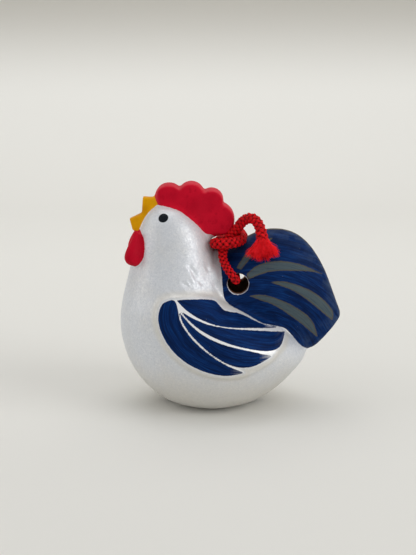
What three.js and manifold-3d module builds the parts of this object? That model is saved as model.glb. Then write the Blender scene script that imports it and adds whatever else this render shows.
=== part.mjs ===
// A fired clay rooster bell. Two press-moulded clay halves are luted along the bird's median plane,
// a loose clay pellet rattles inside, and a red braided cord is knotted through a hole in the tail.
// Millimetres, +Z up. The bird faces -X and its left side is -Y. The origin lies under the middle
// of the clay bird, on the surface that it stands on.
import * as THREE from "three";
import { LoftGeometry } from "three/addons/geometries/LoftGeometry.js";
import { mergeVertices } from "three/addons/utils/BufferGeometryUtils.js";
import Module from "manifold-3d";

// Driving dimensions of the clay bird. The points of its side view below are in hundredths of its
// length and height. The wall grows to CROWN_WALL over the hollow of the head, and the inside
// follows the outside sideways from the middle of the belly upwards.
const BIRD_LENGTH = 68.8;
const BIRD_HEIGHT = 69.8;
const BODY_WIDTH = 46;
const WALL = 3.2;
const CROWN_WALL = 9.3;
const BELLY_MIDDLE_SHARE = 0.287;

// Stations up the belly, breast, neck and head: height, front and back of the level section, and
// its width as a share of the body's width
const BODY_STATIONS = [
  { z: 0, front: -21.8, back: 4.4, share: 0.37 },
  { z: 2.1, front: -28.5, back: 10.8, share: 0.55 },
  { z: 5.7, front: -34.6, back: 18, share: 0.72 },
  { z: 11.5, front: -40.7, back: 25, share: 0.86 },
  { z: 17.9, front: -45.1, back: 30.8, share: 0.95 },
  { z: 24.4, front: -47.8, back: 34.9, share: 0.99 },
  { z: 31.5, front: -49.6, back: 31.2, share: 1 },
  { z: 38.4, front: -50, back: 20.3, share: 0.965 },
  { z: 45.1, front: -49.4, back: 8, share: 0.885 },
  { z: 51.6, front: -48, back: 0, share: 0.78 },
  { z: 58.7, front: -46.2, back: -4.1, share: 0.68 },
  { z: 65.9, front: -44.5, back: -6.4, share: 0.6 },
  { z: 73.1, front: -43, back: -8.6, share: 0.535 },
  { z: 78.8, front: -41.3, back: -11, share: 0.48 },
  { z: 84.5, front: -38.8, back: -15.4, share: 0.41 },
  { z: 88.4, front: -36, back: -20.3, share: 0.3 },
  { z: 90.7, front: -33.1, back: -25, share: 0.16 },
];

// Stations round the fan of the tail: its edge, its root inside the body, and its thickness as a
// share of the tail's thickness at the hanging hole
const TAIL_THICKNESS = 20;
const TAIL_STATIONS = [
  { edge: [-11.6, 64.5], root: [-17.4, 38.7], share: 0.9 },
  { edge: [-5.2, 67.8], root: [-10.9, 36.5], share: 0.96 },
  { edge: [0.4, 71.2], root: [-6.5, 34.4], share: 1 },
  { edge: [6.7, 75.5], root: [-2.2, 32.7], share: 1.02 },
  { edge: [14.5, 78.8], root: [2.2, 31.5], share: 1.02 },
  { edge: [23, 79.2], root: [6.5, 30.1], share: 0.98 },
  { edge: [30.2, 76.5], root: [11.6, 28.7], share: 0.92 },
  { edge: [36.3, 70.9], root: [16.7, 27.2], share: 0.84 },
  { edge: [41.4, 62.8], root: [21.8, 26.1], share: 0.74 },
  { edge: [44.9, 54.4], root: [27, 25.2], share: 0.63 },
  { edge: [48, 46.3], root: [32.6, 24.6], share: 0.5 },
  { edge: [50, 41.3], root: [35.8, 24.6], share: 0.4 },
];
const TAIL_TIP_ROUND = 0.7;
const TAIL_TIP_SHARE = 0.86;
const TAIL_HOLLOW_SHARE = 0.62;
const TAIL_EDGE_WALLS = 1.5;

// Comb: one arc for each lobe, through the notches and the tops between them
const COMB_THICKNESS = 8;
const COMB_ROUND = 2.4;
const COMB_NOTCHES = [
  [-34, 91.7],
  [-22.8, 97.1],
  [-12.1, 95.8],
  [-3.6, 90.5],
  [-6.1, 76.4],
];
const COMB_TOPS = [
  [-29.4, 99],
  [-18, 100],
  [-7.3, 96.8],
  [0.6, 87.2],
];
const COMB_ROOT = [
  [-11.6, 73.8],
  [-20.3, 80.2],
  [-30.5, 83.8],
];

// Beak, open as the bird crows
const BEAK_THICKNESS = 7.6;
const BEAK_ROUND = 1.2;
const BEAK_TIP_SHARE = 0.45;
const UPPER_BEAK = [
  [-39.2, 93.4],
  [-33.9, 93],
  [-30.5, 87.4],
  [-33.4, 81.7],
  [-39.7, 86.4],
];
const LOWER_BEAK = [
  [-45.3, 83.7],
  [-39.4, 86.2],
  [-33.4, 83.1],
  [-37.1, 76.2],
  [-43.9, 78.8],
];

// Wattles: a flattened drop on each side under the beak. Its middle lies on the neck's section at
// this height, at a bearing from the front, and stands a little off it.
const WATTLE_LENGTH = 11.4;
const WATTLE_BREADTH = 10.4;
const WATTLE_THICKNESS = 5.8;
const WATTLE_DROOP = 0.9;
const WATTLE_HEIGHT_SHARE = 0.725;
const WATTLE_STANDOFF = 0.47;
const WATTLE_BEARING = THREE.MathUtils.degToRad(28.5);
const WATTLE_TURN = THREE.MathUtils.degToRad(55);

// Wings, raised a little from the flanks inside this outline
const WING_RELIEF = 0.9;
const WING_OUTLINE = [
  [-25.4, 54.7],
  [-31.4, 52.4],
  [-33.7, 46.7],
  [-32.3, 39.5],
  [-27.9, 31.5],
  [-19.6, 24.6],
  [-8.7, 20.6],
  [2.9, 19.9],
  [12.5, 23.2],
  [20.3, 28.1],
  [24.4, 33],
  [21.8, 37.2],
  [9.4, 43.8],
  [-1.5, 49],
  [-13.1, 53.9],
];

// Openings: the sound slot under the belly and the hanging hole through the tail
const SLOT_LENGTH = 30;
const SLOT_WIDTH = 5;
const HOLE_DIAMETER = 6.4;
const HOLE_PLACE = [2.9, 57.3];

// The loose pellet, which sits on the edges of the slot
const PELLET_DIAMETER = 10;

// The gap between pieces that touch
const CLEARANCE = 0.3;

// The cord's route, from the left tassel over the knot, through the hole and back to the right
// tassel. Each stretch starts where the one before it ends.
const CORD_DIAMETER = 2.6;
const CORD_ROUTE = {
  cord_end_left: [
    [9.2, -10.2, 53.9],
    [8.9, -9.7, 55.6],
    [8.4, -8.7, 57.5],
    [7.3, -7.3, 59.1],
    [5.7, -6, 59.6],
  ],
  knot_strand_left: [
    [4, -5, 58.8],
    [2.5, -4.3, 57.1],
    [1.3, -4, 55.2],
    [-0.2, -3.8, 53.6],
    [-1.4, -4.1, 52],
    [-2.4, -5.7, 49.9],
    [-2.6, -7.9, 47.6],
  ],
  cord_loop: [
    [-1.5, -10, 45.3],
    [0, -11.6, 43.4],
    [1.2, -10.8, 41.6],
    [1.4, -7.8, 41],
    [1.4, -3.8, 41],
    [1.4, 0, 41],
    [1.4, 3.8, 41],
    [1.4, 7.8, 41],
    [1.8, 10.8, 41.6],
    [3, 12.2, 43.8],
    [4.1, 10.8, 47],
    [4.2, 8.1, 50.2],
    [3.2, 4.3, 52.7],
    [2.6, -0.4, 53.5],
  ],
  knot_strand_right: [
    [3.1, -4.9, 52.7],
    [0.4, -7.8, 52.4],
    [-2.4, -8.3, 52.2],
    [-4.9, -6.6, 51.9],
    [-4.7, -3.3, 51.4],
    [-4.1, 0, 50.6],
    [-3.5, 3.4, 50.6],
    [-2.6, 7, 50.8],
  ],
  cord_end_right: [
    [-1.7, 10.8, 50.2],
    [-1, 13.8, 48],
    [-0.6, 15, 44.8],
  ],
};

// The frayed ends: the outline goes by shares of the length and of the way from the cord's
// radius to the spread
const TASSEL_LENGTH = 7;
const TASSEL_SPREAD = 10.4;
const TASSEL_DEPTH = 5.6;
const TASSEL_OUTLINE = [
  [0, 0],
  [0.3, 0.38],
  [0.72, 0.82],
  [1, 1],
];

// How finely the curved surfaces are cut
const BODY_SECTIONS = 28;
const BODY_SIDES = 44;
const TAIL_SECTIONS = 20;
const TAIL_SIDES = 28;
const COMB_LOBE_STEPS = 5;
const WATTLE_RINGS = 12;
const WATTLE_SIDES = 20;
const WING_STEPS = 36;
const ROUNDING_STEPS = 3;
const HOLE_SIDES = 24;
const SLOT_END_STEPS = 8;
const PELLET_SIDES = 20;
const PELLET_RINGS = 14;
const CORD_SIDES = 8;
const CORD_STEP = 1.75;
const CORD_MEASURES = 20;
const MERGE_DISTANCE = 1e-4;

// Finishes
const PAINTED_CLAY = { color: 0xdfe2e6, roughness: 0.45, metalness: 0.05 };
const BARE_CLAY = { color: 0x9a6a4a, roughness: 0.9, metalness: 0 };
const RED_CORD = { color: 0xb01420, roughness: 0.6, metalness: 0 };

const wasm = await Module();
wasm.setup();

const smoothStep = (x) => THREE.MathUtils.smoothstep(x, 0, 1);
const along = (x) => (x * BIRD_LENGTH) / 100;
const upward = (z) => (z * BIRD_HEIGHT) / 100;
const toPoint = ([x, z]) => new THREE.Vector2(along(x), upward(z));

// A closed geometry as a solid that can be joined and cut
function solidOf(geometry) {
  const bare = new THREE.BufferGeometry();
  bare.setAttribute("position", geometry.getAttribute("position"));
  if (geometry.index) bare.setIndex(geometry.index);
  const merged = mergeVertices(bare, MERGE_DISTANCE);
  const vertProperties = new Float32Array(merged.getAttribute("position").array);
  const triVerts = new Uint32Array(merged.index.array);
  return new wasm.Manifold(new wasm.Mesh({ numProp: 3, vertProperties, triVerts }));
}

function geometryOf(solid) {
  const { vertProperties, triVerts } = solid.getMesh();
  const geometry = new THREE.BufferGeometry();
  geometry.setAttribute("position", new THREE.BufferAttribute(vertProperties, 3));
  geometry.setIndex(new THREE.BufferAttribute(triVerts, 1));
  geometry.computeVertexNormals();
  return geometry;
}

const joined = (solids) => solids.reduce((whole, solid) => whole.add(solid));

// An outline in the XZ plane, extruded to an even thickness across the median plane
function plate(shape, thickness, round, curveSegments) {
  const geometry = new THREE.ExtrudeGeometry(shape, {
    depth: thickness - 2 * round,
    bevelThickness: round,
    bevelSize: round,
    bevelOffset: -round,
    bevelSegments: ROUNDING_STEPS,
    bevelEnabled: round > 0,
    curveSegments,
  });
  geometry.translate(0, 0, round - thickness / 2);
  return geometry.rotateX(Math.PI / 2);
}

const foot = BODY_STATIONS[0];
const footMiddle = along((foot.front + foot.back) / 2);
const bellyMiddle = BELLY_MIDDLE_SHARE * BIRD_HEIGHT;
const crownHeight = upward(BODY_STATIONS.at(-1).z);
const bodyRails = new THREE.CubicInterpolant(
  BODY_STATIONS.map(({ z }) => upward(z)),
  BODY_STATIONS.flatMap(({ front, back, share }) => [
    along(front),
    along(back),
    (share * BODY_WIDTH) / 2,
  ]),
  3,
);

// One level section of the body at a height, grown or shrunk all round, drawn at another height
function bodySection(railHeight, drawnHeight, grow) {
  const [front, back, half] = bodyRails.evaluate(railHeight);
  const middle = (front + back) / 2;
  const reach = (back - front) / 2 + grow;
  return Array.from({ length: BODY_SIDES }, (_, i) => {
    const angle = (2 * Math.PI * i) / BODY_SIDES;
    return new THREE.Vector3(
      middle + reach * Math.cos(angle),
      (half + grow) * Math.sin(angle),
      drawnHeight,
    );
  });
}

// Belly, breast, neck and head as one loft; the sections close up towards the foot and the crown
function bodyLoft(grow) {
  const sections = Array.from({ length: BODY_SECTIONS + 1 }, (_, i) => {
    const z = (crownHeight * (1 - Math.cos((Math.PI * i) / BODY_SECTIONS))) / 2;
    return bodySection(z, z, grow);
  });
  return solidOf(new LoftGeometry(sections, { capStart: true, capEnd: true }));
}

// The hollow follows the outside one wall inside it: upwards at the floor, sideways above the belly
function bodyHollow() {
  const count = Math.round(BODY_SECTIONS / 2);
  const height = crownHeight - CROWN_WALL - WALL;
  const sections = Array.from({ length: count + 1 }, (_, i) => {
    const z = WALL + height * (1 - Math.cos((Math.PI * i) / (2 * count)));
    const lean = (Math.PI / 2) * Math.min(1, (z - WALL) / (bellyMiddle - WALL));
    return bodySection(z - WALL * Math.cos(lean), z, -WALL * Math.sin(lean));
  });
  return solidOf(new LoftGeometry(sections, { capStart: true, capEnd: true }));
}

const tailEdge = new THREE.SplineCurve(TAIL_STATIONS.map(({ edge }) => toPoint(edge)));
const tailRoot = new THREE.SplineCurve(TAIL_STATIONS.map(({ root }) => toPoint(root)));
const tailHalf = new THREE.SplineCurve(
  TAIL_STATIONS.map(({ share }, i) => new THREE.Vector2(i, (share * TAIL_THICKNESS) / 2)),
);

// One section of the tail: an oval from its root to its edge
function tailSection(along, inset, share, push) {
  const edge = tailEdge.getPoint(along);
  const root = tailRoot.getPoint(along);
  const chord = edge.clone().sub(root);
  const length = chord.length() - TAIL_EDGE_WALLS * inset;
  const up = chord.normalize();
  const out = new THREE.Vector2(up.y, -up.x);
  const half = (tailHalf.getPoint(along).y - inset) * share;
  const middle = root.clone().addScaledVector(up, length / 2).addScaledVector(out, push);
  return Array.from({ length: TAIL_SIDES }, (_, i) => {
    const angle = (2 * Math.PI * i) / TAIL_SIDES;
    const across = (share * length * Math.cos(angle)) / 2;
    return new THREE.Vector3(
      middle.x + up.x * across,
      -half * Math.sin(angle),
      middle.y + up.y * across,
    );
  });
}

function tailLoft() {
  const sections = Array.from({ length: TAIL_SECTIONS + 1 }, (_, i) =>
    tailSection(i / TAIL_SECTIONS, 0, 1, 0),
  );
  sections.push(tailSection(1, 0, TAIL_TIP_SHARE, TAIL_TIP_ROUND));
  return solidOf(new LoftGeometry(sections, { capStart: true, capEnd: true }));
}

function tailHollow() {
  const count = Math.round(TAIL_SECTIONS / 2);
  const sections = Array.from({ length: count + 1 }, (_, i) =>
    tailSection((TAIL_HOLLOW_SHARE * i) / count, WALL, 1, 0),
  );
  return solidOf(new LoftGeometry(sections, { capStart: true, capEnd: true }));
}

// Draws the arc from the shape's last point through a top to an end
function arcThrough(shape, start, top, end) {
  const [a, b, c] = [start, top, end].map(toPoint);
  const turn = 2 * (a.x * (b.y - c.y) + b.x * (c.y - a.y) + c.x * (a.y - b.y));
  const [aa, bb, cc] = [a.lengthSq(), b.lengthSq(), c.lengthSq()];
  const x = (aa * (b.y - c.y) + bb * (c.y - a.y) + cc * (a.y - b.y)) / turn;
  const y = (aa * (c.x - b.x) + bb * (a.x - c.x) + cc * (b.x - a.x)) / turn;
  const from = Math.atan2(a.y - y, a.x - x);
  const to = Math.atan2(c.y - y, c.x - x);
  shape.absarc(x, y, Math.hypot(a.x - x, a.y - y), from, to, turn < 0);
}

function comb() {
  const shape = new THREE.Shape();
  shape.moveTo(...toPoint(COMB_NOTCHES[0]));
  COMB_TOPS.forEach((top, i) => arcThrough(shape, COMB_NOTCHES[i], top, COMB_NOTCHES[i + 1]));
  COMB_ROOT.forEach((point) => shape.lineTo(...toPoint(point)));
  return solidOf(plate(shape, COMB_THICKNESS, COMB_ROUND, COMB_LOBE_STEPS));
}

// A mandible is a plate that thins from the head to its tip
function mandible(outline) {
  const geometry = plate(new THREE.Shape(outline.map(toPoint)), BEAK_THICKNESS, BEAK_ROUND, 1);
  const tip = toPoint(outline[0]);
  const reach = Math.max(...outline.map((point) => toPoint(point).distanceTo(tip)));
  const position = geometry.getAttribute("position");
  for (let i = 0; i < position.count; i++) {
    const away = Math.hypot(position.getX(i) - tip.x, position.getZ(i) - tip.y);
    const share = BEAK_TIP_SHARE + (1 - BEAK_TIP_SHARE) * smoothStep(away / reach);
    position.setY(i, position.getY(i) * share);
  }
  return solidOf(geometry);
}

// A revolved drop, flattened and laid against the side of the neck
function wattle(side) {
  const ringAngle = Math.PI / WATTLE_RINGS;
  const angles = Array.from({ length: WATTLE_RINGS - 1 }, (_, i) => (i + 1) * ringAngle);
  const swells = angles.map((angle) => Math.sin(angle) * (1 + WATTLE_DROOP * Math.cos(angle)));
  const widest = Math.max(...swells);
  const profile = [
    new THREE.Vector2(0, -0.5),
    ...angles.map((angle, i) => new THREE.Vector2(swells[i] / widest / 2, -Math.cos(angle) / 2)),
    new THREE.Vector2(0, 0.5),
  ];
  const geometry = new THREE.LatheGeometry(profile, WATTLE_SIDES).rotateX(Math.PI / 2);
  geometry.scale(WATTLE_BREADTH, WATTLE_THICKNESS, WATTLE_LENGTH);
  geometry.rotateZ(side * WATTLE_TURN);
  const height = WATTLE_HEIGHT_SHARE * BIRD_HEIGHT;
  const [front, back, half] = bodyRails.evaluate(height);
  const reach = (back - front) / 2 + WATTLE_STANDOFF;
  const x = (front + back) / 2 - reach * Math.cos(WATTLE_BEARING);
  const y = (half + WATTLE_STANDOFF) * Math.sin(WATTLE_BEARING);
  return solidOf(geometry.translate(x, -side * y, height));
}

function wings() {
  const shape = new THREE.Shape();
  const outline = WING_OUTLINE.map(toPoint);
  shape.moveTo(outline[0].x, outline[0].y);
  shape.splineThru([...outline.slice(1), outline[0]]);
  const prism = solidOf(plate(shape, BODY_WIDTH + 4 * WING_RELIEF, 0, WING_STEPS));
  return bodyLoft(WING_RELIEF).intersect(prism);
}

function slot() {
  const radius = SLOT_WIDTH / 2;
  const straight = SLOT_LENGTH / 2 - radius;
  const shape = new THREE.Shape();
  shape.absarc(footMiddle + straight, 0, radius, -Math.PI / 2, Math.PI / 2);
  shape.absarc(footMiddle - straight, 0, radius, Math.PI / 2, (3 * Math.PI) / 2);
  const depth = bellyMiddle;
  const geometry = new THREE.ExtrudeGeometry(shape, {
    depth,
    bevelEnabled: false,
    curveSegments: SLOT_END_STEPS,
  });
  return solidOf(geometry.translate(0, 0, -depth / 2));
}

function hangingHole() {
  const radius = HOLE_DIAMETER / 2;
  const geometry = new THREE.CylinderGeometry(radius, radius, BODY_WIDTH, HOLE_SIDES);
  const place = toPoint(HOLE_PLACE);
  return solidOf(geometry.translate(place.x, 0, place.y));
}

const outside = joined([
  bodyLoft(0),
  tailLoft(),
  comb(),
  mandible(UPPER_BEAK),
  mandible(LOWER_BEAK),
  wattle(1),
  wattle(-1),
  wings(),
]);
const inside = joined([bodyHollow(), tailHollow(), slot(), hangingHole()]);
const clay = outside.subtract(inside);

// One side of the median plane, cut from the whole of the clay
function clayHalf(side) {
  const { min, max } = clay.boundingBox();
  const reach = 2 * Math.max(...min.map(Math.abs), ...max.map(Math.abs));
  const block = new THREE.BoxGeometry(2 * reach, reach, 2 * reach).translate(0, (side * reach) / 2, 0);
  return geometryOf(clay.intersect(solidOf(block)));
}

// The pellet rests on the two edges of the slot, which lie one wall above the ground
const pelletRadius = PELLET_DIAMETER / 2;
const pelletHeight = WALL + Math.sqrt(pelletRadius ** 2 - (SLOT_WIDTH / 2) ** 2) + CLEARANCE;
const pellet = new THREE.SphereGeometry(pelletRadius, PELLET_SIDES, PELLET_RINGS)
  .rotateX(Math.PI / 2)
  .translate(footMiddle, 0, pelletHeight);

const cordPoints = Object.values(CORD_ROUTE).flat();
const cordLine = new THREE.CatmullRomCurve3(cordPoints.map((point) => new THREE.Vector3(...point)));
cordLine.arcLengthDivisions = CORD_MEASURES * (cordPoints.length - 1);
const cordLength = cordLine.getLength();

// How far along the cord the last point of each stretch lies
let pointCount = -1;
const cordCuts = Object.values(CORD_ROUTE).map((points) => {
  pointCount += points.length;
  return cordLine.getLengths()[CORD_MEASURES * pointCount];
});

// A stretch of the cord between two distances along it
class Stretch extends THREE.Curve {
  constructor(start, end) {
    super();
    this.start = start;
    this.end = end;
  }

  getPoint(t, target = new THREE.Vector3()) {
    const along = THREE.MathUtils.lerp(this.start, this.end, t);
    return cordLine.getPointAt(THREE.MathUtils.clamp(along / cordLength, 0, 1), target);
  }
}

function cordStretch(start, end) {
  const section = new THREE.Shape();
  section.absarc(0, 0, CORD_DIAMETER / 2, 0, 2 * Math.PI);
  return new THREE.ExtrudeGeometry(section, {
    steps: Math.ceil((end - start) / CORD_STEP),
    extrudePath: new Stretch(start, end),
    curveSegments: CORD_SIDES / 2,
  });
}

// The cord's frayed end: a tuft that spreads from the cord, flattened against the bird
function tassel(end, direction) {
  const neck = CORD_DIAMETER / 2;
  const profile = TASSEL_OUTLINE.map(([down, out]) => {
    const radius = THREE.MathUtils.lerp(neck, TASSEL_SPREAD / 2, out);
    return new THREE.Vector2(radius, down * TASSEL_LENGTH);
  });
  const smooth = new THREE.SplineCurve(profile).getPoints(2 * profile.length);
  const outline = [new THREE.Vector2(0, 0), ...smooth, new THREE.Vector2(0, TASSEL_LENGTH)];
  const geometry = new THREE.LatheGeometry(outline, 2 * CORD_SIDES);
  const position = geometry.getAttribute("position");
  for (let i = 0; i < position.count; i++) {
    const down = position.getY(i) / TASSEL_LENGTH;
    position.setZ(i, position.getZ(i) * THREE.MathUtils.lerp(1, TASSEL_DEPTH / TASSEL_SPREAD, down));
  }
  const turn = new THREE.Quaternion().setFromUnitVectors(new THREE.Vector3(0, 1, 0), direction);
  const place = end.clone().addScaledVector(direction, CLEARANCE);
  return geometry.applyMatrix4(new THREE.Matrix4().compose(place, turn, new THREE.Vector3(1, 1, 1)));
}

const bell = new THREE.Group();
function addPiece(name, geometry, finish) {
  const mesh = new THREE.Mesh(geometry, new THREE.MeshStandardMaterial(finish));
  mesh.name = name;
  bell.add(mesh);
}

addPiece("clay_half_left", clayHalf(-1), PAINTED_CLAY);
addPiece("clay_half_right", clayHalf(1), PAINTED_CLAY);
addPiece("rattle_pellet", pellet, BARE_CLAY);

// The cord's stretches meet face to face, with a small gap between their ends
Object.keys(CORD_ROUTE).forEach((name, i, names) => {
  const start = i === 0 ? 0 : cordCuts[i - 1] + CLEARANCE / 2;
  const end = i === names.length - 1 ? cordLength : cordCuts[i] - CLEARANCE / 2;
  addPiece(name, cordStretch(start, end), RED_CORD);
});
const leftDirection = cordLine.getTangentAt(0).negate();
const rightDirection = cordLine.getTangentAt(1);
addPiece("tassel_left", tassel(cordLine.getPointAt(0), leftDirection), RED_CORD);
addPiece("tassel_right", tassel(cordLine.getPointAt(1), rightDirection), RED_CORD);

export default bell;
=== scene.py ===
"""Looks of a clay rooster bell: painted clay, a braided cord and its tassels."""

import math
import random

import bmesh
import bpy
import numpy as np
from bpy.props import FloatProperty, FloatVectorProperty, IntProperty, PointerProperty
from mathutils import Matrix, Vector, noise


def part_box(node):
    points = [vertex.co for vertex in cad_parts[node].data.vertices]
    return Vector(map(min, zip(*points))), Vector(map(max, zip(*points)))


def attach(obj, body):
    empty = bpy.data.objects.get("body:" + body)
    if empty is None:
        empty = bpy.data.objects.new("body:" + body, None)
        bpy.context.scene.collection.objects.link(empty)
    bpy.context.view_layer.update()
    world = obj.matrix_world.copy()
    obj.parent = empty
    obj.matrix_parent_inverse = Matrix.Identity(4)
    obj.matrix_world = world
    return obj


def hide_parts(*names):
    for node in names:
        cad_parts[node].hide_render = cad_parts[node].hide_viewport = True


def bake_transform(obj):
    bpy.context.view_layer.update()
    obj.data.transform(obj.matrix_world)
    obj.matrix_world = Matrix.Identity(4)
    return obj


bl_info = {
    "name": "Clay Rooster Bell",
    "version": (1, 0, 0),
    "blender": (4, 5, 0),
    "location": "3D View > Sidebar > Rooster Bell",
    "description": "Paints a clay rooster bell and ties its braided cord",
    "category": "Object",
}

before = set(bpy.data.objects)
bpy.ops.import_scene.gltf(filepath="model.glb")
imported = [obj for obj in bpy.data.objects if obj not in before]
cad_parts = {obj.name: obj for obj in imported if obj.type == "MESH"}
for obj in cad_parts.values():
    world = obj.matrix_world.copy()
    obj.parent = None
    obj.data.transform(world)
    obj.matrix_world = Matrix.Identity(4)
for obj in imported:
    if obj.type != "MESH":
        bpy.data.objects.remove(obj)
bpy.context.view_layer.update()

MM = 0.001
IMAGE_WIDTH, IMAGE_HEIGHT = 416, 555

# The cord's route in metres, from the left tassel, through the knot and the hanging hole, to the
# right one. HOLE_MIDDLE numbers its point in the middle of the hole.
CORD_ROUTE = (
    (0.0092, -0.0102, 0.0539), (0.0089, -0.0097, 0.0556), (0.0084, -0.0087, 0.0575),
    (0.0073, -0.0073, 0.0591), (0.0057, -0.006, 0.0596), (0.004, -0.005, 0.0588),
    (0.0025, -0.0043, 0.0571), (0.0013, -0.004, 0.0552), (-0.0002, -0.0038, 0.0536),
    (-0.0014, -0.0041, 0.052), (-0.0024, -0.0057, 0.0499), (-0.0026, -0.0079, 0.0476),
    (-0.0015, -0.01, 0.0453), (0.0, -0.0116, 0.0434), (0.0012, -0.0108, 0.0416),
    (0.0014, -0.0078, 0.041), (0.0014, -0.0038, 0.041), (0.0014, 0.0, 0.041),
    (0.0014, 0.0038, 0.041), (0.0014, 0.0078, 0.041), (0.0018, 0.0108, 0.0416),
    (0.003, 0.0122, 0.0438), (0.0041, 0.0108, 0.047), (0.0042, 0.0081, 0.0502),
    (0.0032, 0.0043, 0.0527), (0.0026, -0.0004, 0.0535), (0.0031, -0.0049, 0.0527),
    (0.0004, -0.0078, 0.0524), (-0.0024, -0.0083, 0.0522), (-0.0049, -0.0066, 0.0519),
    (-0.0047, -0.0033, 0.0514), (-0.0041, 0.0, 0.0506), (-0.0035, 0.0034, 0.0506),
    (-0.0026, 0.007, 0.0508), (-0.0017, 0.0108, 0.0502), (-0.001, 0.0138, 0.048),
    (-0.0006, 0.015, 0.0448),
)
HOLE_MIDDLE = 17
# Curve steps between two points of the route, a painted line and the wattle's outline.
ROUTE_STEPS, LINE_STEPS, WATTLE_STEPS = 40, 8, 6
# The braid is thinner where it is pulled tight, from the hole up to the knot.
TIGHT_RUN, TIGHT_SHARE = (19 * MM, 25 * MM), 0.8
# The braid's points lie this far apart, and so many of its strands turn each way.
BRAID_STEP, BRAID_HAND = 0.28 * MM, 4
TASSEL_SEEDS = {"left": 11, "right": 23}

# Painted outlines on the bird's side, as (front to back, up) in millimetres: a brush stroke has
# two edges, and a larger area has one smooth edge and corners that close it.
FEATHERS = (
    (
        ((-17.8, 37.1), (-20.5, 36), (-21.8, 32), (-20.4, 26.8), (-17.2, 22.2), (-13, 18.8),
         (-7.4, 16.3), (-1.2, 15.2), (3.6, 15.9)),
        ((-17.8, 37.1), (-16.9, 36.7), (-16.3, 35.2), (-15.6, 31.9), (-14.8, 30.2), (-11.8, 26.3),
         (-7.4, 22.3), (-1.8, 18.5), (3.6, 15.9)),
    ),
    (
        ((-15.4, 33.5), (-13.1, 31.1), (-9.6, 28.1), (-5.3, 25.7), (-0.2, 23.8), (5.3, 22.2),
         (11.8, 20.1)),
        ((-15.4, 33.5), (-14.7, 31.5), (-12.4, 28.1), (-8.3, 24), (-3.5, 20.3), (1.2, 18),
         (3.9, 17.6), (6.3, 17.8), (8.7, 18.6), (11.8, 20.1)),
    ),
    (
        ((-14.9, 33.9), (-12.5, 32.5), (-7.7, 30.4), (-2.4, 29), (3.7, 27.8), (10.1, 26.4),
         (16.3, 24.7)),
        ((-14.9, 33.9), (-13.1, 32), (-9.9, 29.4), (-5.3, 26.8), (0, 24.6), (5.4, 22.9),
         (11.1, 21.7), (13.3, 21.8), (14.9, 22.5), (16.3, 24.7)),
    ),
    (
        ((-16.2, 37), (-14.5, 37.1), (-9.5, 36.9), (-6.8, 36.4), (-5, 35.8), (-3.8, 34.6),
         (-2.4, 33.2), (1.6, 31.8), (5.9, 29.7), (9.6, 27.8), (13.8, 26.3)),
        ((-16.2, 37), (-13.9, 34.7), (-9.8, 32.1), (-5.3, 30.2), (0.3, 28.9), (5.5, 28.1),
         (13.8, 26.3)),
    ),
)
TAIL_STRIPES = (
    (
        ((4.7, 43.1), (6.8, 44.9), (9.2, 46.1), (14.7, 46.7), (20.9, 45.4), (27.9, 41.8)),
        ((5, 41.6), (9.8, 43.4), (12.3, 43.9), (18.4, 43.8), (24.7, 43), (27.9, 41.8)),
    ),
    (
        ((11.7, 40.5), (15.6, 40.6), (21.5, 38.6), (27.3, 34.9), (31.6, 29.3), (31.3, 27.2)),
        ((11.7, 40.5), (17.2, 38.5), (22.2, 35.4), (27.3, 30.9), (31.3, 27.2)),
    ),
    (
        ((5.6, 36.4), (9.3, 36.6), (14.8, 34.8), (20.4, 31.7), (24.9, 27.5), (26.8, 21.9)),
        ((5.6, 36.4), (8.9, 35), (12.5, 33.6), (17.2, 30.4), (21.7, 26.8), (26.8, 21.9)),
    ),
    (
        ((1.7, 44.8), (4.2, 48.6), (8, 52), (12.5, 53.2)),
        ((2.9, 44.4), (5.8, 47.8), (9.5, 50.9), (12.5, 53.2)),
    ),
)
TAIL_LINE = (
    (-4.6, 50.6), (-3.5, 47.2), (-2.9, 43.5), (-2.6, 39.2), (-2.2, 36.4), (-1.6, 35), (2.6, 32.2),
    (6, 30.2), (9.3, 28.3), (12.9, 26.9), (15, 26.2), (16.6, 25.5), (19.2, 22.7), (21.8, 19.8),
    (24.7, 17.2), (28, 14.5),
)
TAIL_OUTSIDE = ((45, 5), (45, 75), (-4.6, 75))
COMB_LINE = (
    (-22.5, 63.3), (-19.4, 62.9), (-15.5, 61.6), (-12.3, 59.2), (-9.5, 56.5), (-7.7, 54.5),
    (-6.2, 54.2), (-4.2, 53),
)
COMB_OUTSIDE = ((3, 52.6), (3, 80), (-24.6, 80), (-23.4, 65.4))
BEAK_LINE = (
    (-22.5, 63.3), (-25, 61.1), (-26.7, 58.8), (-27.9, 56.3), (-28.4, 55.3), (-30.3, 55.2),
)
BEAK_OUTSIDE = ((-45, 55), (-45, 80), (-24.6, 80), (-23.4, 65.4))
WATTLE = (
    (-30.4, 56.4), (-28.9, 56.2), (-27.4, 54.8), (-26.5, 53.1), (-26.3, 51.1), (-26.5, 48.8),
    (-27.4, 46.7), (-29.5, 45.1), (-31.8, 45.8), (-33.6, 48), (-33.6, 50.6), (-32.4, 53.4),
)
# How far from a painted edge its depth is still told, in millimetres as all up to the lamps.
REACH = 3.0
# Heights between the two wattles and half the white parting there.
WATTLE_PARTING = ((44, 50.4, 51.4), (3.4, 0.5, -3))
# A wattle's lowest place, off the centre and up, and how its lower edge curves up from there.
WATTLE_TIP, WATTLE_CURVE = (6.2, 44.8), 0.05
# Below this height the beak's paint keeps this close to the centre.
BEAK_LOW, BEAK_HALF = 56.6, 3.6
# Half widths of the tail's ridge, rubbed and with painted sheen, the comb and the joint's line.
TAIL_RIM, COMB_HALF, SEAM_HALF = 7.0, 4.0, 0.8
# The round along the comb's edge, and how far in from its faces the painted highlight along that
# edge is full.
COMB_EDGE, COMB_HIGHLIGHT_WIDTH = 1.5, 0.9
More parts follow.
